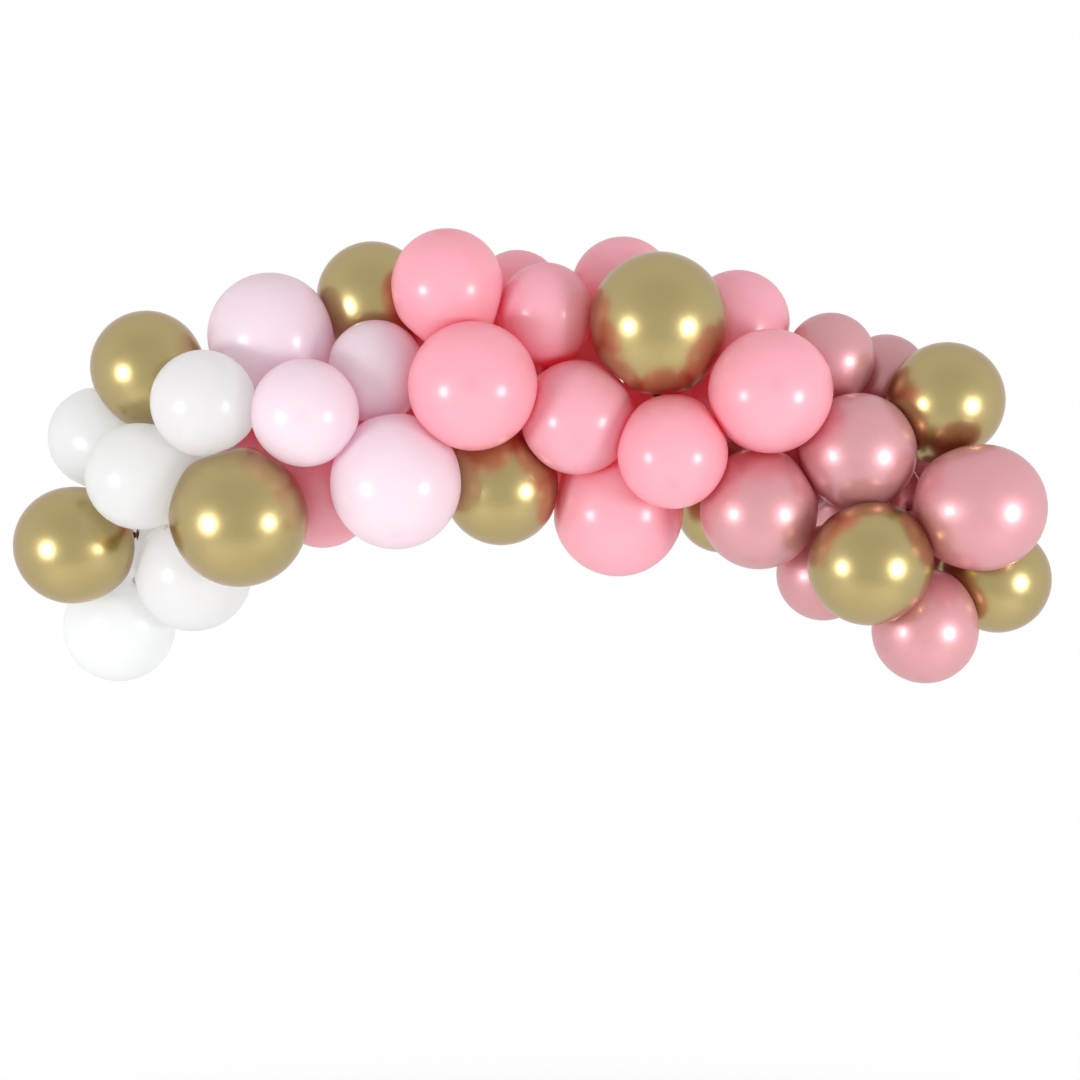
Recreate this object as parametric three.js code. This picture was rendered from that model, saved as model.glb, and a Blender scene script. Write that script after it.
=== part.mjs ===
// Balloon garland: round latex balloons tied in a thick bunch along a clear punched strip.
// The strip runs in a low, flat-topped arch, and each balloon's knot points back to it.
// Millimetres, +Z up, +X to the right, the garland's front towards -Y.
// The origin is on the strip's upper face, at the middle of the crown, where the garland is hung.

import {
  ExtrudeGeometry, Group, LatheGeometry, MathUtils, Mesh, MeshStandardMaterial,
  Quaternion, Shape, SplineCurve, Vector2, Vector3,
} from 'three';
import { mergeVertices } from 'three/addons/utils/BufferGeometryUtils.js';

// ---- Driving dimensions ----

const STRIP_SPAN = 1480; // between the strip's two ends
const STRIP_RISE = 250; // from the ends up to the crown
const STRIP_SQUARENESS = 2.4; // 2 is an ellipse, more is squarer at the shoulders
const STRIP_WIDTH = 15; // front to back
const STRIP_THICKNESS = 1;
const STRIP_FACETS = 31; // odd, so that one of them lies flat on the crown

const FACETS_AROUND = 11; // of each balloon, about the axis through its knot
const BELLY_RINGS = 6; // from the balloon's far end to its shoulder
const SHOULDER_ANGLE = 152; // degrees from the far end, where the neck begins
const PEAR = 0.22; // how far the latex is drawn out towards a free neck, of the radius
const NECK_REACH = 1.36; // from the centre to the end of a free knot, of the radius
const THROAT_RADIUS = 0.06; // of the radius
const KNOT_RADIUS = 0.085; // of the radius
const KNOT_LENGTH = 0.07; // of the radius
const KNOT_TO_STRIP = 9; // from the knot's end to the middle of the strip
const KNOT_TILT = 20; // degrees that a sideways knot is also turned in towards the strip's plane

const LAYER_DEPTH = 50; // one layer in front of or behind another
const SQUEEZE = 0.945; // how close two pressed balloons come, of their radii together
const STRIP_ROOM = 16; // from a balloon's skin to the middle of the strip
const SKIN_GAP = 0.4; // between two balloons that press on each other

// ---- Materials ----

const LATEX = {
  white: { color: 0xf1f2f3, roughness: 0.35, metalness: 0 },
  blush: { color: 0xf3e1ea, roughness: 0.35, metalness: 0 },
  pink: { color: 0xfcaabd, roughness: 0.3, metalness: 0 },
  rose: { color: 0xdca3ab, roughness: 0.35, metalness: 0.2 },
  gold: { color: 0xb5a268, roughness: 0.25, metalness: 0.9 },
};
const CLEAR_PLASTIC = { color: 0xeef2f4, roughness: 0.2, metalness: 0 };

// ---- The balloons, from the left end to the right, and then those at the back ----
// Each is [latex, diameter, x, z, layer, knot]. Layer 0 is level with the strip, plus is in front
// of it. Where a knot is given, it is the way that the knot points as seen from the front, in
// degrees from the right, anticlockwise. The others point straight at the strip.
// The places of those at the back are guesses on a 25 mm grid, each behind a gap in the front.

const BALLOONS = [
  // left end
  ['white', 220, -845, -460, -2],
  ['white', 225, -685, -355, 0],
  ['gold', 225, -910, -300, 1, 10],
  ['white', 200, -765, -170, 2, 0],
  ['white', 195, -870, -90, -1],
  // left shoulder
  ['gold', 215, -760, 40, 0],
  ['white', 195, -635, -35, 3, 300],
  ['gold', 255, -570, -250, 3],
  ['blush', 240, -525, 100, -1],
  ['blush', 200, -445, -55, 4],
  ['pink', 200, -430, -205, 0],
  // left of the crown
  ['gold', 215, -335, 180, -1],
  ['blush', 180, -320, 35, 2, 270],
  ['blush', 245, -280, -185, 3],
  ['pink', 210, -185, 190, 1],
  ['pink', 240, -135, -5, 3],
  // crown
  ['gold', 220, -85, -190, 1],
  ['pink', 175, -55, 190, -1],
  ['pink', 180, 0, 145, 2, 270],
  ['pink', 215, 60, -60, 2],
  ['pink', 250, 140, -235, 0],
  ['pink', 200, 150, 200, 0],
  // right of the crown
  ['gold', 255, 210, 120, 4, 270],
  ['pink', 205, 235, -130, 3],
  ['gold', 180, 350, -225, -3],
  ['pink', 200, 370, 130, 1],
  ['rose', 220, 400, -235, 2],
  ['pink', 230, 415, -15, 3],
  // right shoulder
  ['rose', 180, 535, -355, -1],
  ['rose', 170, 545, 60, 1],
  ['rose', 220, 585, -125, 3],
  ['gold', 225, 595, -335, 3],
  ['rose', 165, 665, 30, -1],
  // right end
  ['rose', 200, 715, -460, 1],
  ['gold', 220, 760, -25, 2],
  ['rose', 215, 785, -165, -2],
  ['rose', 235, 810, -230, 2, 180],
  ['gold', 205, 865, -365, 0],
  // at the back
  ['white', 200, -775, -300, -3],
  ['white', 190, -725, -100, -3],
  ['pink', 190, -550, -100, -2],
  ['blush', 180, -400, 75, -3],
  ['pink', 200, -325, -75, -3],
  ['pink', 180, -225, 75, -2],
  ['gold', 200, -200, -100, -3],
  ['pink', 170, -75, 25, -3],
  ['pink', 200, -25, -125, -2],
  ['pink', 200, 50, 50, -2],
  ['pink', 200, 150, -75, -3],
  ['pink', 200, 250, 0, -2],
  ['rose', 200, 375, -50, -3],
  ['rose', 200, 475, -150, -2],
  ['gold', 180, 600, -50, -3],
  ['rose', 200, 600, -225, -3],
  ['rose', 190, 750, -325, -2],
];

// ---- The strip's course ----

// A superellipse from the left end over the crown to the right end, walked in even steps.
function stripCourse() {
  const power = 2 / STRIP_SQUARENESS;
  const outline = [];
  for (let degrees = 180; degrees >= 0; degrees -= 2) {
    const angle = MathUtils.degToRad(degrees);
    const across = Math.sign(Math.cos(angle)) * Math.abs(Math.cos(angle)) ** power;
    const up = Math.max(Math.sin(angle), 0) ** power;
    outline.push(new Vector2(across * STRIP_SPAN / 2, up * STRIP_RISE));
  }
  const points = new SplineCurve(outline).getSpacedPoints(STRIP_FACETS);
  const crownFace = points[(STRIP_FACETS - 1) / 2].y + STRIP_THICKNESS / 2;
  return points.map((point) => new Vector2(point.x, point.y - crownFace));
}

// The point of the strip's middle line that is nearest to a place in the plane of the arch.
function nearestOnStrip(course, place) {
  let best = null;
  for (let i = 1; i < course.length; i += 1) {
    const along = course[i].clone().sub(course[i - 1]);
    const share = place.clone().sub(course[i - 1]).dot(along) / along.lengthSq();
    const point = course[i - 1].clone().addScaledVector(along, MathUtils.clamp(share, 0, 1));
    if (!best || point.distanceTo(place) < best.distanceTo(place)) best = point;
  }
  return best;
}

// ---- How the balloons settle ----

// Depth that two things need between them so that they are `apart` from each other in space.
function depthNeeded(apart, inPlane) {
  return Math.sqrt(Math.max(apart ** 2 - inPlane ** 2, 0));
}

// Starts every balloon in its layer, draws it in towards the strip, and pushes apart whatever
// is squeezed too hard, until the bunch is tight. Only the depth changes.
function settle(course) {
  const steps = 600;
  const draw = 0.02;
  const balloons = BALLOONS.map(([latex, diameter, x, z, layer, knot]) => {
    const tie = nearestOnStrip(course, new Vector2(x, z));
    const toTie = tie.distanceTo(new Vector2(x, z));
    return { latex, radius: diameter / 2, x, z, tie, toTie, knot, front: layer * LAYER_DEPTH };
  });
  for (let step = 0; step < steps; step += 1) {
    const drawNow = draw * Math.max(1 - 2 * step / steps, 0);
    for (const ball of balloons) {
      ball.front *= 1 - drawNow;
      const clear = depthNeeded(ball.radius + STRIP_ROOM, ball.toTie);
      if (Math.abs(ball.front) < clear) ball.front += 0.5 * (Math.sign(ball.front) * clear - ball.front);
    }
    balloons.forEach((one, i) => balloons.slice(i + 1).forEach((other) => {
      const inPlane = Math.hypot(one.x - other.x, one.z - other.z);
      const needed = depthNeeded(SQUEEZE * (one.radius + other.radius), inPlane);
      const lacking = needed - Math.abs(one.front - other.front);
      if (lacking <= 0) return;
      const way = Math.sign(one.front - other.front) || 1;
      one.front += 0.25 * way * lacking;
      other.front -= 0.25 * way * lacking;
    }));
  }
  for (const ball of balloons) ball.centre = new Vector3(ball.x, -ball.front, ball.z);
  return balloons;
}

// ---- Geometry ----

// Half outline of a blown-up balloon with +Y towards its knot, from the far end to the knot's end.
// A knot that is pulled in short leaves the balloon rounder than a free one does.
function balloonProfile(radius, knotEnd) {
  const pear = PEAR * MathUtils.clamp((knotEnd / radius - 1) / (NECK_REACH - 1), 0, 1);
  const profile = [];
  for (let ring = 0; ring <= BELLY_RINGS; ring += 1) {
    const angle = MathUtils.degToRad(SHOULDER_ANGLE * ring / BELLY_RINGS);
    const drawn = radius * (1 + pear * Math.max(-Math.cos(angle), 0) ** 2);
    profile.push(new Vector2(drawn * Math.sin(angle), -drawn * Math.cos(angle)));
  }
  profile.push(new Vector2(THROAT_RADIUS * radius, knotEnd - KNOT_LENGTH * radius));
  profile.push(new Vector2(KNOT_RADIUS * radius, knotEnd));
  profile.push(new Vector2(0, knotEnd));
  return profile;
}

// The flat on which a balloon meets each neighbour: its direction, and its distance from the centre.
function contactsOf(ball, balloons) {
  return balloons.filter((other) => other !== ball).map((other) => {
    const normal = other.centre.clone().sub(ball.centre);
    const apart = normal.length();
    const middle = (apart ** 2 + ball.radius ** 2 - other.radius ** 2) / (2 * apart);
    return { normal: normal.divideScalar(apart), distance: middle - SKIN_GAP / 2 };
  });
}

// Draws each vertex in towards the balloon's centre until it is behind every contact flat.
function pressFlat(position, contacts) {
  const ray = new Vector3();
  for (let i = 0; i < position.count; i += 1) {
    ray.fromBufferAttribute(position, i);
    let keep = 1;
    for (const { normal, distance } of contacts) {
      const reach = ray.dot(normal);
      if (reach > distance) keep = Math.min(keep, distance / reach);
    }
    position.setXYZ(i, ray.x * keep, ray.y * keep, ray.z * keep);
  }
}

// Way from the centre to the knot's end: straight at the strip, or sideways where one is given.
function knotArm(ball) {
  const free = NECK_REACH * ball.radius;
  if (ball.knot === undefined) {
    const arm = new Vector3(ball.tie.x, 0, ball.tie.y).sub(ball.centre);
    return arm.setLength(Math.min(free, arm.length() - KNOT_TO_STRIP));
  }
  const aim = MathUtils.degToRad(ball.knot);
  const tilt = MathUtils.degToRad(KNOT_TILT) * Math.sign(ball.front);
  const sideways = Math.cos(tilt);
  return new Vector3(sideways * Math.cos(aim), Math.sin(tilt), sideways * Math.sin(aim))
    .multiplyScalar(free);
}

function balloonGeometry(ball, balloons) {
  const arm = knotArm(ball);
  const turned = new LatheGeometry(balloonProfile(ball.radius, arm.length()), FACETS_AROUND);
  turned.deleteAttribute('normal');
  turned.deleteAttribute('uv');
  const geometry = mergeVertices(turned, 0.01);
  const turn = new Quaternion().setFromUnitVectors(new Vector3(0, 1, 0), arm.normalize());
  geometry.applyQuaternion(turn);
  pressFlat(geometry.getAttribute('position'), contactsOf(ball, balloons));
  return geometry;
}

// The strip's edge outline in the plane of the arch, drawn out to its width.
function stripGeometry(course) {
  const above = [];
  const below = [];
  course.forEach((point, i) => {
    const before = course[Math.max(i - 1, 0)];
    const after = course[Math.min(i + 1, course.length - 1)];
    const along = after.clone().sub(before).normalize();
    const outward = new Vector2(-along.y, along.x).multiplyScalar(STRIP_THICKNESS / 2);
    above.push(point.clone().add(outward));
    below.unshift(point.clone().sub(outward));
  });
  const geometry = new ExtrudeGeometry(new Shape([...above, ...below]), {
    depth: STRIP_WIDTH, bevelEnabled: false, steps: 1,
  });
  geometry.rotateX(Math.PI / 2);
  geometry.translate(0, STRIP_WIDTH / 2, 0);
  return geometry;
}

// ---- Assembly ----

function named(name, geometry, look) {
  const mesh = new Mesh(geometry, new MeshStandardMaterial(look));
  mesh.name = name;
  return mesh;
}

const course = stripCourse();
const balloons = settle(course);
const garland = new Group();
garland.add(named('balloon_strip', stripGeometry(course), CLEAR_PLASTIC));

const count = {};
for (const ball of balloons) {
  count[ball.latex] = (count[ball.latex] ?? 0) + 1;
  const name = `${ball.latex}_balloon_${count[ball.latex]}`;
  const mesh = named(name, balloonGeometry(ball, balloons), LATEX[ball.latex]);
  mesh.position.copy(ball.centre);
  garland.add(mesh);
}

export default garland;
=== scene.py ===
# %% [markdown]
# # A balloon garland
#
# The real thing is fifty-odd latex balloons, each blown up to its own size, tied off with a knot
# and tied to a clear plastic strip that runs through the bunch in a low arch. Some are plain
# pastel latex, some have a pearly or a chrome finish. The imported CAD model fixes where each
# balloon is, how big it is and which way its knot points. This lesson reads those facts back from
# it, makes every balloon again as a smooth, soft skin, and gives each finish its own material.

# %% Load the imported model
import math

import bpy
import numpy as np
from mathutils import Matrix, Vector


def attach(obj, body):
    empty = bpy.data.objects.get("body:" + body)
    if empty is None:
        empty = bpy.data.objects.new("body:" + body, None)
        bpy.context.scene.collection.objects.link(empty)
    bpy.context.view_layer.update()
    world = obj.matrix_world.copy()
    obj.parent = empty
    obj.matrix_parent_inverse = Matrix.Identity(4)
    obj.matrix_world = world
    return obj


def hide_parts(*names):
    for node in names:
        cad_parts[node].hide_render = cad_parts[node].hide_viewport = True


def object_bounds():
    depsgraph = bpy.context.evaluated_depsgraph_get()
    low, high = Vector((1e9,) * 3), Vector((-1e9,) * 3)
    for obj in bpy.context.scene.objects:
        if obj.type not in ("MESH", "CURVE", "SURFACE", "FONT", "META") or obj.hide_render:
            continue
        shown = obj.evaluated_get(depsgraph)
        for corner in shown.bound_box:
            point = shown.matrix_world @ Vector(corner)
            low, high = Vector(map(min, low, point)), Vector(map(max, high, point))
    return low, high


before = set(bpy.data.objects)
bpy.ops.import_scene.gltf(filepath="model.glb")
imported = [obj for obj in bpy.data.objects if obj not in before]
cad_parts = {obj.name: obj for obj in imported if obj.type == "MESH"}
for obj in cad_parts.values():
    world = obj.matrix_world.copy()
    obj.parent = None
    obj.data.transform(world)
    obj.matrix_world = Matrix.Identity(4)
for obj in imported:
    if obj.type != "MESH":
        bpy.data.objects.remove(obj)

cad_lo, cad_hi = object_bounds()
garland_middle = (cad_lo + cad_hi) / 2
garland_size = cad_hi - cad_lo
print("garland, metres:", [round(side, 3) for side in garland_size])

# %% [markdown]
# ## The camera
#
# A long lens from a good distance keeps round things round: with a short lens, the balloons at
# the two ends would come out as eggs. The camera is level, so upright lines stay upright. It
# stands a little below the garland's middle and looks straight ahead, so the arch sits in the
# upper half of the picture. It comes first because everything after it can then be looked at.

# %% Camera
CAMERA_DISTANCE = 4.5
CAMERA_RIGHT = 0.018
CAMERA_BELOW = 0.155
CAMERA_LENS = 77.9  # millimetres
CAMERA_SENSOR = 36.0  # millimetres

camera_data = bpy.data.cameras.new("camera")
camera_data.lens = CAMERA_LENS
camera_data.sensor_width = CAMERA_SENSOR
camera = bpy.data.objects.new("camera", camera_data)
camera.location = (
    garland_middle.x + CAMERA_RIGHT,
    -CAMERA_DISTANCE,
    garland_middle.z - CAMERA_BELOW,
)
camera.rotation_euler = (math.radians(90), 0, 0)
bpy.context.scene.collection.objects.link(camera)
bpy.context.scene.camera = camera
print("camera at", [round(place, 3) for place in camera.location])

# %% [markdown]
# ## Reading a balloon back from its CAD solid
#
# Each CAD balloon is a coarse faceted solid, pressed flat where it meets its neighbours. The
# knot's small rings are where its corners lie closest together, so they show where the neck ends.
# The half away from the knot is round, and all its corners that no neighbour has pushed in lie on
# one sphere, so the sphere that passes through the most of them gives the balloon's centre and
# radius. It is found by trying spheres through four corners at a time, drawn at random but from a
# fixed seed, and keeping the best.

# %% The corners of a CAD node
ROUNDING = 5  # decimals of a metre


def corners_of(node):
    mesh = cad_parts[node].data
    flat = np.empty(3 * len(mesh.vertices))
    mesh.vertices.foreach_get("co", flat)
    return np.unique(flat.reshape(-1, 3).round(ROUNDING), axis=0)


# %% The corners of the knot
KNOT_CLUSTER = 0.1  # of the balloon's width


def knot_of(points):
    width = np.ptp(points, axis=0).max()
    between = np.linalg.norm(points[:, None] - points[None], axis=2)
    near = between < KNOT_CLUSTER * width
    return points[near[near.sum(axis=1).argmax()]]


# %% The sphere that most corners of the round half lie on
TRIES = 300
ON_THE_SPHERE = 0.0001  # metres
ROUND_SHARE = 0.55  # of all the corners, the farthest from the knot


def sphere_through(points):
    rows = np.c_[2 * points, np.ones(len(points))]
    found = np.linalg.lstsq(rows, (points**2).sum(axis=1), rcond=None)[0]
    centre = found[:3]
    return centre, math.sqrt(max(found[3] + centre @ centre, 0))


def corners_on(points, centre, radius):
    off = np.abs(np.linalg.norm(points - centre, axis=1) - radius)
    return points[off < ON_THE_SPHERE]


def skin_sphere(points, knot, seed):
    from_knot = np.linalg.norm(points - knot.mean(axis=0), axis=1)
    round_half = points[from_knot > np.quantile(from_knot, 1 - ROUND_SHARE)]
    draw = np.random.default_rng(seed)
    best = points[:0]
    for _ in range(TRIES):
        four = round_half[draw.choice(len(round_half), 4, replace=False)]
        held = corners_on(round_half, *sphere_through(four))
        if len(held) > len(best):
            best = held
    return sphere_through(best)


# %% All the balloons
balloons = []
for seed, node in enumerate(sorted(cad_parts)):
    if "_balloon_" not in node:
        continue
    points = corners_of(node)
    knot = knot_of(points)
    centre, radius = skin_sphere(points, knot, seed)
    axis = knot.mean(axis=0) - centre
    axis /= np.linalg.norm(axis)
    balloons.append({
        "node": node, "latex": node.split("_")[0], "centre": centre, "radius": radius,
        "axis": axis, "reach": float(((knot - centre) @ axis).max()),
    })
sizes = [2000 * balloon["radius"] for balloon in balloons]
print(len(balloons), "balloons,", round(min(sizes)), "to", round(max(sizes)), "mm across")

# %% [markdown]
# ## Where two balloons press on each other
#
# Two equal balloons pressed together meet on a flat, like two soap bubbles. The flat crosses the
# line between their centres where both skins would otherwise meet. Each balloon keeps a list of
# its flats: the direction of each and its distance from the centre, less half of the small gap
# that is left between the two, so that two skins never lie in the same place. A neck reaches out
# past the round skin, so the flats of neighbours a little way off are kept too.

# %% Contact flats
SKIN_GAP = 0.0004  # metres
NECK_RANGE = 1.36  # how far off a neighbour still counts, of the two radii together


def flats_of(balloon):
    flats = []
    for other in balloons:
        if other is balloon:
            continue
        across = other["centre"] - balloon["centre"]
        apart = np.linalg.norm(across)
        if apart >= NECK_RANGE * (balloon["radius"] + other["radius"]):
            continue
        middle = (apart**2 + balloon["radius"] ** 2 - other["radius"] ** 2) / (2 * apart)
        flats.append((across / apart, middle - SKIN_GAP / 2))
    return flats


for balloon in balloons:
    balloon["flats"] = flats_of(balloon)
pressed = [distance < ball["radius"] for ball in balloons for _, distance in ball["flats"]]
print(sum(pressed), "flats where a balloon's skin is pressed in")

# %% [markdown]
# ## The shape of a blown-up balloon
#
# A latex balloon is round at its far end and is drawn out towards the neck, so its outline is a
# pear. One that is tied down short against the strip is rounder than one whose neck is free. Past
# the shoulder the skin falls in to a narrow throat, where it is tied. The knot is a lump of folded
# latex, and behind it the mouth of the balloon ends in a rolled lip. All of it is one outline
# turned about the neck's axis: it could be drawn as a curve and spun with the Screw modifier, but
# working the rings out directly lets the later steps bend each one.

# %% Half outline of one balloon
PEAR = 0.22  # how far a free neck draws the skin out, of the radius
FREE_REACH = 1.36  # from the centre to the end of a free knot, of the radius
SHOULDER = math.radians(148)  # from the far end
THROAT = 0.045  # of the radius
NECK_SLOPE = 0.2  # how far the neck is drawn on in the shoulder's own direction, of the radius
NECK_STRAIGHT = 0.12  # how far it is drawn straight before the throat, of the radius
SLOPE_STEP = 0.01  # radians, over which the shoulder's direction is measured
BELLY_RINGS = 40
NECK_RINGS = 12


def pear_point(angle, reach):
    pear = PEAR * min(max((reach - 1) / (FREE_REACH - 1), 0), 1)
    drawn = 1 + pear * max(-math.cos(angle), 0) ** 2
    return np.array([drawn * math.sin(angle), -drawn * math.cos(angle)])


def neck_points(reach, throat_at):
    start = pear_point(SHOULDER, reach)
    along = start - pear_point(SHOULDER - SLOPE_STEP, reach)
    along /= np.linalg.norm(along)
    end = np.array([THROAT, throat_at])
    straight = np.array([0, NECK_STRAIGHT])
    handles = [start, start + NECK_SLOPE * along, end - straight, end]
    weights = [
        [(1 - t) ** 3, 3 * t * (1 - t) ** 2, 3 * t**2 * (1 - t), t**3]
        for t in np.linspace(0, 1, NECK_RINGS + 1)[1:]
    ]
    return [sum(w * h for w, h in zip(row, handles)) for row in weights]


# %% The knot and the lip
# Each pair is a radius and a distance behind the throat, in thousandths of the balloon's radius.
KNOT_OUTLINE = [
    (62, 8), (80, 22), (88, 40), (80, 58), (60, 70), (48, 78), (50, 90), (60, 104),
    (70, 114), (80, 116), (86, 122), (84, 130), (76, 134), (66, 130), (50, 118), (30, 106),
]
KNOT_BACK = 0.075  # how far the throat is before the CAD knot's end, of the radius


def outline_of(reach):
    throat_at = reach - KNOT_BACK
    belly = [pear_point(a, reach) for a in np.linspace(0, SHOULDER, BELLY_RINGS + 1)[1:]]
    neck = neck_points(reach, throat_at)
    knot = [np.array([across / 1000, throat_at + back / 1000]) for across, back in KNOT_OUTLINE]
    return np.array(belly + neck + knot)


print("rings on a balloon:", len(outline_of(FREE_REACH)))

# %% [markdown]
# ## Making the skin
#
# The rings are joined into one closed mesh with a point at each end. Three things are added to
# the plain turned shape. The throat is gathered into pleats by the knot that ties it. The knot is
# twisted, because it is an overhand knot and not a bead. And the skin is pushed in behind each
# contact flat: a corner is drawn towards the centre until it is behind the flat, and the flats are
# blended with a high power instead of a hard limit, because rubber bends round an edge.

# %% Frame of a balloon: its neck's axis and two directions across it
FACETS_AROUND = 72
UPRIGHT = 0.9  # from this upward share on, an axis counts as upright


def directions_across(axis):
    helper = np.array([1.0, 0.0, 0.0] if abs(axis[2]) >= UPRIGHT else [0.0, 0.0, 1.0])
    side = np.cross(axis, helper)
    side /= np.linalg.norm(side)
    return side, np.cross(axis, side)


# %% Pleats and twist
PLEATS = 12
PLEAT_DEPTH = 0.16  # of the ring's own radius, at the throat
KNOT_PLEATED = 0.5  # how strongly the knot is pleated, against the throat
KNOT_LUMP = 0.16  # how far the knot is out of round, of the ring's own radius
KNOT_TWIST = 0.9  # radians that the knot turns from one ring to the next
THROAT_RING = BELLY_RINGS + NECK_RINGS - 1


def out_of_round(number, around):
    behind = number - THROAT_RING
    in_knot = behind > 0
    gathered = KNOT_PLEATED if in_knot else max(1 + behind / NECK_RINGS, 0)
    lump = KNOT_LUMP if in_knot else 0
    pleat = 1 - PLEAT_DEPTH * gathered**2 * (0.5 + 0.5 * np.cos(PLEATS * around))
    return pleat * (1 + lump * np.cos(2 * around + KNOT_TWIST * behind))


# %% Rings of one balloon
def rings_of(balloon):
    side, other = directions_across(balloon["axis"])
    around = np.linspace(0, 2 * math.pi, FACETS_AROUND, endpoint=False)
    rings = []
    for number, (across, along) in enumerate(outline_of(balloon["reach"] / balloon["radius"])):
        out = across * out_of_round(number, around)
        ring = (
            np.outer(out * np.cos(around), side)
            + np.outer(out * np.sin(around), other)
            + along * balloon["axis"]
        )
        rings.append(ring * balloon["radius"])
    return rings


# %% Press the skin behind the flats
EDGE_POWER = 40  # higher is a sharper edge round a contact flat


def press(points, flats):
    pushed = np.ones(len(points))
    for normal, distance in flats:
        reach = np.maximum(points @ normal, 0) / distance
        pushed += reach**EDGE_POWER
    return points / pushed[:, None] ** (1 / EDGE_POWER)


# %% Join the rings
def skin_faces(count):
    faces = []
    last = 1 + count * FACETS_AROUND
    for j in range(FACETS_AROUND):
        k = (j + 1) % FACETS_AROUND
        faces.append((0, 1 + k, 1 + j))
        for i in range(count - 1):
            a, b = 1 + i * FACETS_AROUND, 1 + (i + 1) * FACETS_AROUND
            faces.append((a + j, a + k, b + k, b + j))
        faces.append((last, last - FACETS_AROUND + j, last - FACETS_AROUND + k))
    return faces


def balloon_mesh(balloon):
    rings = rings_of(balloon)
    far_end = -balloon["axis"] * balloon["radius"]
    mouth = rings[-1].mean(axis=0)
    points = press(np.vstack([[far_end], *rings, [mouth]]), balloon["flats"])
    mesh = bpy.data.meshes.new(balloon["node"])
    mesh.from_pydata(points.tolist(), [], skin_faces(len(rings)))
    mesh.polygons.foreach_set("use_smooth", [True] * len(mesh.polygons))
    return mesh, points


# %% [markdown]
# ## How far the latex is stretched
#
# Blown-up latex is thin and pale over the belly and stays thick and deep in colour where it
# isn't stretched: at the neck, the knot and the lip, and in a small spot at the far end, where the
# mould's tip made it thicker. Each corner of the mesh carries a number for this, from 0 where the
# skin is fully stretched to 1 where it isn't stretched at all, and the materials read it by name.

# %% The number that the materials read
TIP_SPOT = math.radians(8)  # half the angle that the spot fills, seen from the centre
TIP_THICKENED = 0.12  # the number in the middle of the spot
NECK_FROM = math.radians(125)  # from the far end, where the number starts to rise
NECK_OVER = math.radians(50)  # and the angle over which it rises


def unstretched(points, balloon):
    length = np.linalg.norm(points, axis=1)
    from_tip = np.arccos(np.clip(-(points @ balloon["axis"]) / length, -1, 1))
    tip = TIP_THICKENED * np.exp(-((from_tip / TIP_SPOT) ** 2))
    neck = np.clip((from_tip - NECK_FROM) / NECK_OVER, 0, 1) ** 2
    return np.clip(tip + neck, 0, 1)


# %% Build all the skins
skins = []
for balloon in balloons:
    mesh, points = balloon_mesh(balloon)
    number = mesh.attributes.new("unstretched", "FLOAT", "POINT")
    number.data.foreach_set("value", unstretched(points, balloon))
    skin = bpy.data.objects.new(balloon["node"] + "_skin", mesh)
    skin.location = Vector(balloon["centre"])
    bpy.context.scene.collection.objects.link(skin)
    skins.append(skin)
    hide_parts(balloon["node"])
    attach(skin, "root")
print(len(skins), "skins,", sum(len(skin.data.polygons) for skin in skins), "faces")

# %% [markdown]
# ## Two small tools for materials
#
# Colours are written as the sRGB hex values that a colour picker shows, and the renderer works
# with linear light, so one function turns the one into the other. A second function adds a node,
# sets it up and plugs its inputs in. An input goes by its name, with an underscore for a space, or
# by an underscore and its number. A tuple of a node and an output's name makes a link.

# %% Colour and node helpers
def linear(colour):
    shares = [int(colour[i:i + 2], 16) / 255 for i in (1, 3, 5)]
    return [s / 12.92 if s <= 0.04045 else ((s + 0.055) / 1.055) ** 2.4 for s in shares] + [1.0]


def add(tree, kind, settings=None, **inputs):
    node = tree.nodes.new(kind)
    for name, value in (settings or {}).items():
        setattr(node, name, value)
    for name, value in inputs.items():
        socket = node.inputs[int(name[1:]) if name[1:].isdigit() else name.replace("_", " ")]
        if isinstance(value, tuple) and isinstance(value[0], bpy.types.Node):
            tree.links.new(value[0].outputs[value[1]], socket)
        else:
            socket.default_value = value
    return node


def new_material(name):
    material = bpy.data.materials.new(name)
    material.use_nodes = True
    material.node_tree.nodes.clear()
    return material, material.node_tree


# %% [markdown]
# ## Pastel latex
#
# Latex is a natural rubber. The balloon is dipped on a polished mould, so its skin is smooth and
# satin: it has an index of refraction near 1.52 and takes a soft highlight with a bright middle,
# which a second, sharper coat gives. Blown up, the skin is a quarter of a millimetre thick or
# less, with only air behind it, so part of the light goes straight through. It lights the inside
# of the balloon and comes out again on the shaded side, deeper in colour than when it went in.
# Subsurface scattering would treat the balloon as solid rubber. A translucent shader mixed into
# the skin gives the glow in the gaps at less cost and with less noise. The skin is never quite
# even: it has long, faint waves, a few centimetres from crest to crest, which make a highlight
# wander a little. They are far too shallow to show in the outline.

# %% What every balloon's material has: two tones, soft patches and faint waves
WAVE = 0.03  # from crest to crest, in metres
WAVE_HEIGHT = 0.0004  # in metres
CLOUD = 0.012  # size of the soft patches in the finish, in metres


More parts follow.
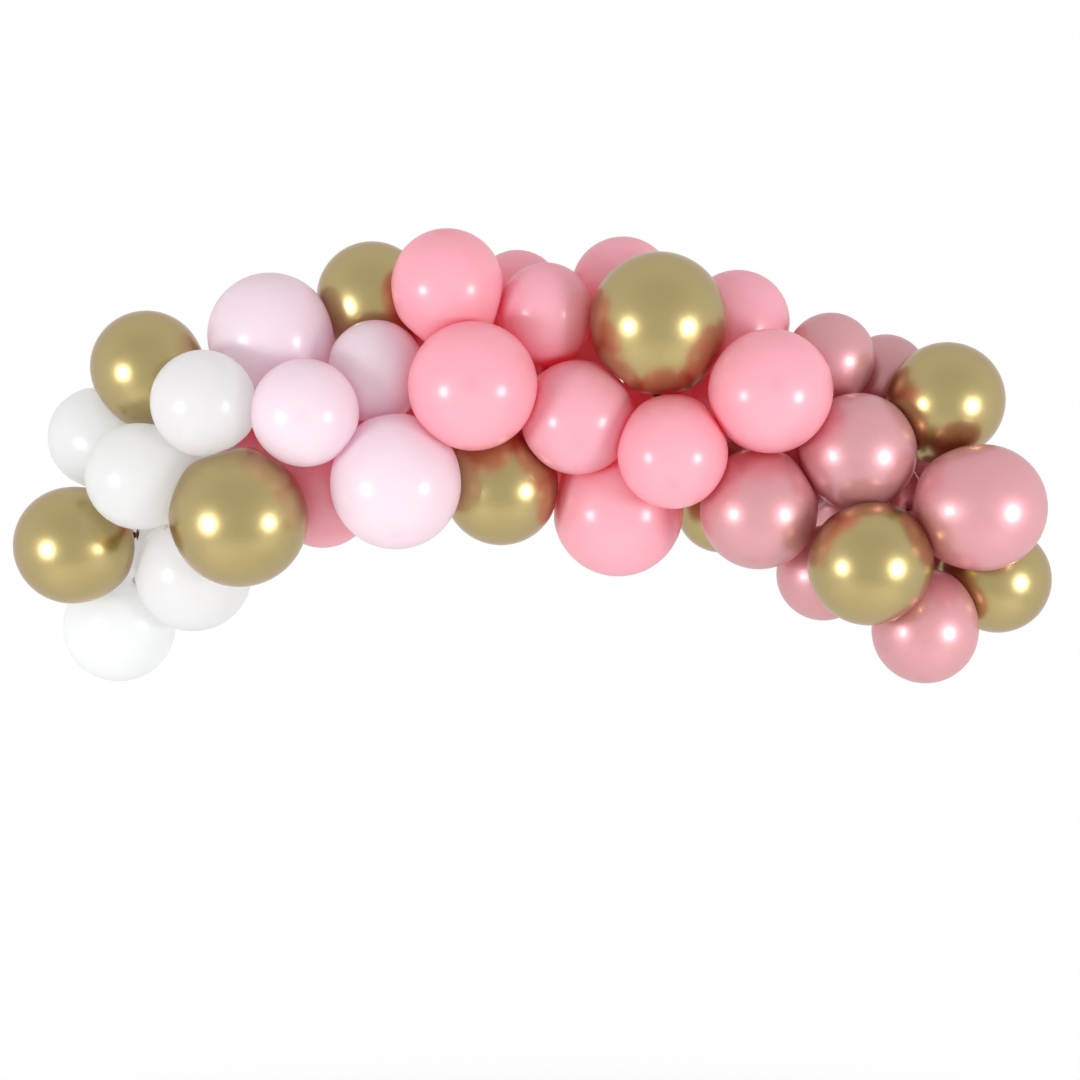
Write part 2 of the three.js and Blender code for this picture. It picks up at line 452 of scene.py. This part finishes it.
def skin_inputs(tree, belly, neck, roughness, patchy, wavy):
    place = add(tree, "ShaderNodeTexCoord")
    stretch = add(tree, "ShaderNodeAttribute", {"attribute_name": "unstretched"})
    waves = add(tree, "ShaderNodeTexNoise", Vector=(place, "Object"),
                Scale=1 / WAVE, Detail=1.0, Roughness=0.4)
    clouds = add(tree, "ShaderNodeTexNoise", Vector=(place, "Object"),
                 Scale=1 / CLOUD, Detail=2.0, Roughness=0.5)
    tint = add(tree, "ShaderNodeMix", {"data_type": "RGBA"}, _0=(stretch, "Fac"),
               _6=linear(belly), _7=linear(neck))
    shine = add(tree, "ShaderNodeMapRange", Value=(clouds, "Fac"), From_Min=0.3, From_Max=0.7,
                To_Min=roughness - patchy, To_Max=roughness + patchy)
    dent = add(tree, "ShaderNodeBump", Strength=wavy, Distance=WAVE_HEIGHT,
               Height=(waves, "Fac"))
    return {
        "Base_Color": (tint, "Result"),
        "Roughness": (shine, "Result"),
        "Normal": (dent, "Normal"),
    }


# %% Latex
LATEX_IOR = 1.52
LATEX_PATCHY = 0.04  # how far the roughness goes up and down
LATEX_WAVY = 0.25  # strength of the waves


def latex(name, belly, inside, neck, roughness, glow,
          metallic=0.0, coat=0.6, coat_roughness=0.18):
    material, tree = new_material(name)
    look = skin_inputs(tree, belly, neck, roughness, LATEX_PATCHY, LATEX_WAVY)
    shader = add(tree, "ShaderNodeBsdfPrincipled", **look, Metallic=metallic, IOR=LATEX_IOR,
                 Coat_Weight=coat, Coat_Roughness=coat_roughness)
    through = add(tree, "ShaderNodeBsdfTranslucent", Color=linear(inside))
    skin = add(tree, "ShaderNodeMixShader", _0=glow, _1=(shader, "BSDF"), _2=(through, "BSDF"))
    add(tree, "ShaderNodeOutputMaterial", Surface=(skin, "Shader"))
    return material


# %% Pastel finishes
finishes = {
    "white": latex("white_pastel_latex", belly="#EBEEF0", inside="#FEFEFE", neck="#DCD6C8",
                   roughness=0.34, glow=0.6),
    "blush": latex("blush_pastel_latex", belly="#F4F0F8", inside="#FFDAE4", neck="#E3A3B4",
                   roughness=0.34, glow=0.4),
    "pink": latex("pink_pastel_latex", belly="#FBC0D0", inside="#FF7B8F", neck="#E8506A",
                  roughness=0.34, glow=0.36),
}
print("pastel finishes:", ", ".join(finishes))

# %% [markdown]
# ## Pearl latex
#
# Pearl balloons have fine mica flakes in the latex. The flakes lie along the skin and mirror the
# light a little, so the surface is partly metallic, with a wide, silky highlight under the rubber's
# own gloss. The flakes also stop some of the light, so a little less of it comes through.

# %% Pearl
finishes["rose"] = latex("rose_pearl_latex", belly="#E5ABB1", inside="#EC8790", neck="#A85560",
                         roughness=0.38, glow=0.25, metallic=0.5, coat=0.5, coat_roughness=0.2)
print("pearl finish:", finishes["rose"].name)

# %% [markdown]
# ## Chrome latex
#
# Chrome balloons are latex under a metallic layer that mirrors the room softly. It is a metal to
# the eye, so it keeps the default index of refraction and is fully metallic. Its roughness is what
# turns the neighbours into soft coloured patches, and its colour is an olive gold. The tint of
# its mirroring at a grazing angle is a little darker than white, which keeps the rim of each
# balloon from turning as pale as the room behind it.

# %% Chrome
CHROME_PATCHY = 0.02  # how far the roughness goes up and down
CHROME_WAVY = 0.3  # strength of the waves


def chrome(name, belly, neck, roughness):
    material, tree = new_material(name)
    look = skin_inputs(tree, belly, neck, roughness, CHROME_PATCHY, CHROME_WAVY)
    shader = add(tree, "ShaderNodeBsdfPrincipled", **look, Metallic=1.0,
                 Specular_Tint=linear("#E8D0C4"), Coat_Weight=1.0, Coat_Roughness=0.3)
    add(tree, "ShaderNodeOutputMaterial", Surface=(shader, "BSDF"))
    return material


finishes["gold"] = chrome("gold_chrome_latex", belly="#B19E65", neck="#8A6A32", roughness=0.3)
print("chrome finish:", finishes["gold"].name)

# %% Dress the skins
for skin, balloon in zip(skins, balloons):
    skin.data.materials.append(finishes[balloon["latex"]])
print("finishes:", {name: sum(b["latex"] == name for b in balloons) for name in finishes})

# %% [markdown]
# ## The clear strip
#
# The strip is a tape of clear soft PVC, 15 mm wide, punched with a row of holes that the knots
# are pulled through. The CAD solid gives its course. Here the tape is rebuilt from that course
# with its punched holes: a flat ladder of short pieces, each with a hole in it, bent along the arch
# and given its thickness.

# %% The strip's course, from the CAD solid
STRIP_WIDTH = 0.015
STRIP_THICKNESS = 0.001
UNDER_THE_ARCH = 1.0  # metres below the crown, where the whole course is seen from left to right

strip_corners = corners_of("balloon_strip")
front_edge = strip_corners[strip_corners[:, 1] < 0][:, [0, 2]]


def place_in_course(point):
    return math.atan2(point[1] + UNDER_THE_ARCH, -point[0])


def strip_course(edge):
    pairs = []
    left = list(range(len(edge)))
    while left:
        first = left.pop(0)
        gaps = [np.linalg.norm(edge[first] - edge[i]) for i in left]
        mate = left.pop(int(np.argmin(gaps)))
        pairs.append((edge[first] + edge[mate]) / 2)
    return np.array(sorted(pairs, key=place_in_course))


course = strip_course(front_edge)
steps = np.linalg.norm(np.diff(course, axis=0), axis=1)
lengths = np.r_[0, np.cumsum(steps)]
print("strip:", len(course), "points,", round(lengths[-1], 3), "m long")

# %% A place on the strip, from its distance along the course
RUN_STEP = 0.01  # metres to either side, over which the course's direction is measured


def course_point(distance):
    return np.array([np.interp(distance, lengths, course[:, i]) for i in (0, 1)])


def on_course(distance, across, above):
    x, z = course_point(distance)
    ahead = course_point(min(distance + RUN_STEP, lengths[-1]))
    run = ahead - course_point(max(distance - RUN_STEP, 0))
    run /= np.linalg.norm(run)
    return (x - run[1] * above, across, z + run[0] * above)


# %% One piece of the ladder: a ring of corners round its hole and one round its edge, twice
HOLE_SPACING = 0.0254
HOLE_RADIUS = 0.0038
HOLE_FACETS = 16


def edge_corner(angle, pitch):
    grow = 1 / max(abs(math.cos(angle)), abs(math.sin(angle)))
    return pitch / 2 * math.cos(angle) * grow, STRIP_WIDTH / 2 * math.sin(angle) * grow


def piece_points(middle, pitch):
    angles = [2 * math.pi * (k + 0.5) / HOLE_FACETS for k in range(HOLE_FACETS)]
    hole = [(HOLE_RADIUS * math.cos(a), HOLE_RADIUS * math.sin(a)) for a in angles]
    edge = [edge_corner(a, pitch) for a in angles]
    return [
        on_course(middle + along, across, above)
        for above in (STRIP_THICKNESS / 2, -STRIP_THICKNESS / 2)
        for along, across in hole + edge
    ]


# %% Faces of one piece, which is open where the next piece goes on
ALLOWANCE = 1e-6  # so that a facet at just 45 degrees counts as part of the long side


def has_side(k, is_first, is_last):
    angle = 2 * math.pi * (k + 1) / HOLE_FACETS
    along, across = math.cos(angle), math.sin(angle)
    if abs(along) <= abs(across) + ALLOWANCE:
        return True
    return is_last if along > 0 else is_first


def piece_faces(base, is_first, is_last):
    top_in, top_out, low_in, low_out = (base + ring * HOLE_FACETS for ring in range(4))
    faces = []
    for k in range(HOLE_FACETS):
        m = (k + 1) % HOLE_FACETS
        faces.append((top_in + k, top_in + m, top_out + m, top_out + k))
        faces.append((low_in + k, low_out + k, low_out + m, low_in + m))
        faces.append((top_in + k, low_in + k, low_in + m, top_in + m))
        if has_side(k, is_first, is_last):
            faces.append((top_out + k, top_out + m, low_out + m, low_out + k))
    return faces


# %% The whole punched strip
def strip_mesh():
    pieces = round(lengths[-1] / HOLE_SPACING)
    pitch = lengths[-1] / pieces
    points = []
    faces = []
    for piece in range(pieces):
        faces += piece_faces(len(points), piece == 0, piece == pieces - 1)
        points += piece_points((piece + 0.5) * pitch, pitch)
    mesh = bpy.data.meshes.new("clear_punched_strip")
    mesh.from_pydata(points, [], faces)
    return mesh, pieces


strip_data, hole_count = strip_mesh()
strip = bpy.data.objects.new("clear_punched_strip", strip_data)
bpy.context.scene.collection.objects.link(strip)
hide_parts("balloon_strip")
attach(strip, "root")
print("strip holes:", hole_count)

# %% [markdown]
# ## Clear PVC
#
# Soft PVC is clear, with an index of refraction near 1.54, and its surface is rolled, so it is
# glossy with a slight haze. Only glints of it show between the balloons.

# %% Clear plastic
PVC_IOR = 1.54
HAZE = 0.004  # size of the patches of haze, in metres

pvc, tree = new_material("clear_soft_pvc")
place = add(tree, "ShaderNodeTexCoord")
haze = add(tree, "ShaderNodeTexNoise", Vector=(place, "Object"), Scale=1 / HAZE, Detail=2.0)
dull = add(tree, "ShaderNodeMapRange", Value=(haze, "Fac"), From_Min=0.3, From_Max=0.7,
           To_Min=0.04, To_Max=0.14)
shader = add(tree, "ShaderNodeBsdfPrincipled", Base_Color=linear("#F4F7F8"),
             Roughness=(dull, "Result"), IOR=PVC_IOR, Transmission_Weight=1.0, Alpha=0.45)
add(tree, "ShaderNodeOutputMaterial", Surface=(shader, "BSDF"))
strip.data.materials.append(pvc)
print("strip material:", pvc.name)

# %% [markdown]
# ## The studio
#
# The garland hangs in a white studio. Two round softboxes stand in front of it, left and right,
# a little lower than the camera. They make the pair of highlights on most balloons. The world
# gives the rest of the light: near white from the sides, and a little greyer from the camera's
# side, from behind and from above. That gives the metal balloons something to mirror, and it
# shades the rims. To the camera itself the world is plain white. Pale balloons light one another
# across the gaps, over and over, so the light is let bounce more often than usual: with the
# usual four bounces the gaps turn a muddy grey. The floor is a pale disc far below, which fades
# out towards its rim.

# %% Softboxes
SOFTBOX_ASIDE = 2.7
SOFTBOX_FRONT = 2.25
SOFTBOX_BELOW = 0.55
SOFTBOX_ACROSS = 0.95
SOFTBOX_WATTS = 50

for name, way in (("softbox_left", -1), ("softbox_right", 1)):
    light = bpy.data.lights.new(name, "AREA")
    light.shape = "DISK"
    light.size = SOFTBOX_ACROSS
    light.energy = SOFTBOX_WATTS
    lamp = bpy.data.objects.new(name, light)
    lamp.location = (way * SOFTBOX_ASIDE, -SOFTBOX_FRONT, garland_middle.z - SOFTBOX_BELOW)
    aim = garland_middle - lamp.location
    lamp.rotation_euler = aim.to_track_quat("-Z", "Y").to_euler()
    bpy.context.scene.collection.objects.link(lamp)
    print(name, "at", [round(place, 3) for place in lamp.location])

# %% World
STUDIO_LIGHT = 0.98  # against the white that the camera sees
FRONT_LIGHT = 0.86  # against the light from the sides
BACK_LIGHT = 0.88
TOP_LIGHT = 0.92


def ramp(tree, value, start, end, at_start, at_end):
    return add(tree, "ShaderNodeMapRange", {"interpolation_type": "SMOOTHSTEP"}, Value=value,
               From_Min=start, From_Max=end, To_Min=at_start, To_Max=at_end)


def product(tree, one, other):
    return add(tree, "ShaderNodeMath", {"operation": "MULTIPLY"}, _0=one, _1=other)


world = bpy.data.worlds.new("white_studio")
world.use_nodes = True
tree = world.node_tree
tree.nodes.clear()
direction = add(tree, "ShaderNodeTexCoord")
split = add(tree, "ShaderNodeSeparateXYZ", Vector=(direction, "Generated"))
front = ramp(tree, (split, "Y"), -0.95, -0.1, FRONT_LIGHT, 1.0)
behind = ramp(tree, (split, "Y"), 0.0, 0.8, 1.0, BACK_LIGHT)
above = ramp(tree, (split, "Z"), 0.1, 0.9, 1.0, TOP_LIGHT)
level = product(tree, (front, "Result"), (behind, "Result"))
shaded = product(tree, (level, "Value"), (above, "Result"))
bright = product(tree, (shaded, "Value"), STUDIO_LIGHT)
seen = add(tree, "ShaderNodeLightPath")
light_in = add(tree, "ShaderNodeMix", {"data_type": "FLOAT"}, _0=(seen, "Is Camera Ray"),
               _2=(bright, "Value"), _3=1.0)
background = add(tree, "ShaderNodeBackground", Color=(light_in, "Result"))
add(tree, "ShaderNodeOutputWorld", Surface=(background, "Background"))
bpy.context.scene.world = world
print("studio light:", STUDIO_LIGHT, "of the white that the camera sees")

# %% White that stays white, and light that bounces often enough
BOUNCES = 14

bpy.context.scene.view_settings.view_transform = "Standard"
bpy.context.scene.cycles.diffuse_bounces = BOUNCES
bpy.context.scene.cycles.max_bounces = BOUNCES
print("light bounces up to", BOUNCES, "times")

# %% Floor
FLOOR_DROP = 1.5  # below the lowest balloon
FLOOR_RADIUS = 5.0
FLOOR_CORNERS = 64
FADE_START = 0.3  # of the radius
FADE_END = 0.8  # of the radius

floor_mesh = bpy.data.meshes.new("floor")
turns = [2 * math.pi * k / FLOOR_CORNERS for k in range(FLOOR_CORNERS)]
rim = [(FLOOR_RADIUS * math.cos(turn), FLOOR_RADIUS * math.sin(turn), 0) for turn in turns]
floor_mesh.from_pydata(rim, [], [tuple(range(FLOOR_CORNERS))])
floor = bpy.data.objects.new("floor", floor_mesh)
floor.location = (0, 0, cad_lo.z - FLOOR_DROP)
bpy.context.scene.collection.objects.link(floor)

# %% Floor paint
paint, tree = new_material("pale_matt_floor_paint")
place = add(tree, "ShaderNodeTexCoord")
far = add(tree, "ShaderNodeVectorMath", {"operation": "LENGTH"}, _0=(place, "Object"))
fade = ramp(tree, (far, "Value"), FADE_START * FLOOR_RADIUS, FADE_END * FLOOR_RADIUS, 1.0, 0.0)
shader = add(tree, "ShaderNodeBsdfPrincipled", Base_Color=linear("#FAFAF9"), Roughness=0.8,
             Alpha=(fade, "Result"))
add(tree, "ShaderNodeOutputMaterial", Surface=(shader, "BSDF"))
floor_mesh.materials.append(paint)
print("floor", FLOOR_DROP, "metres below the lowest balloon")
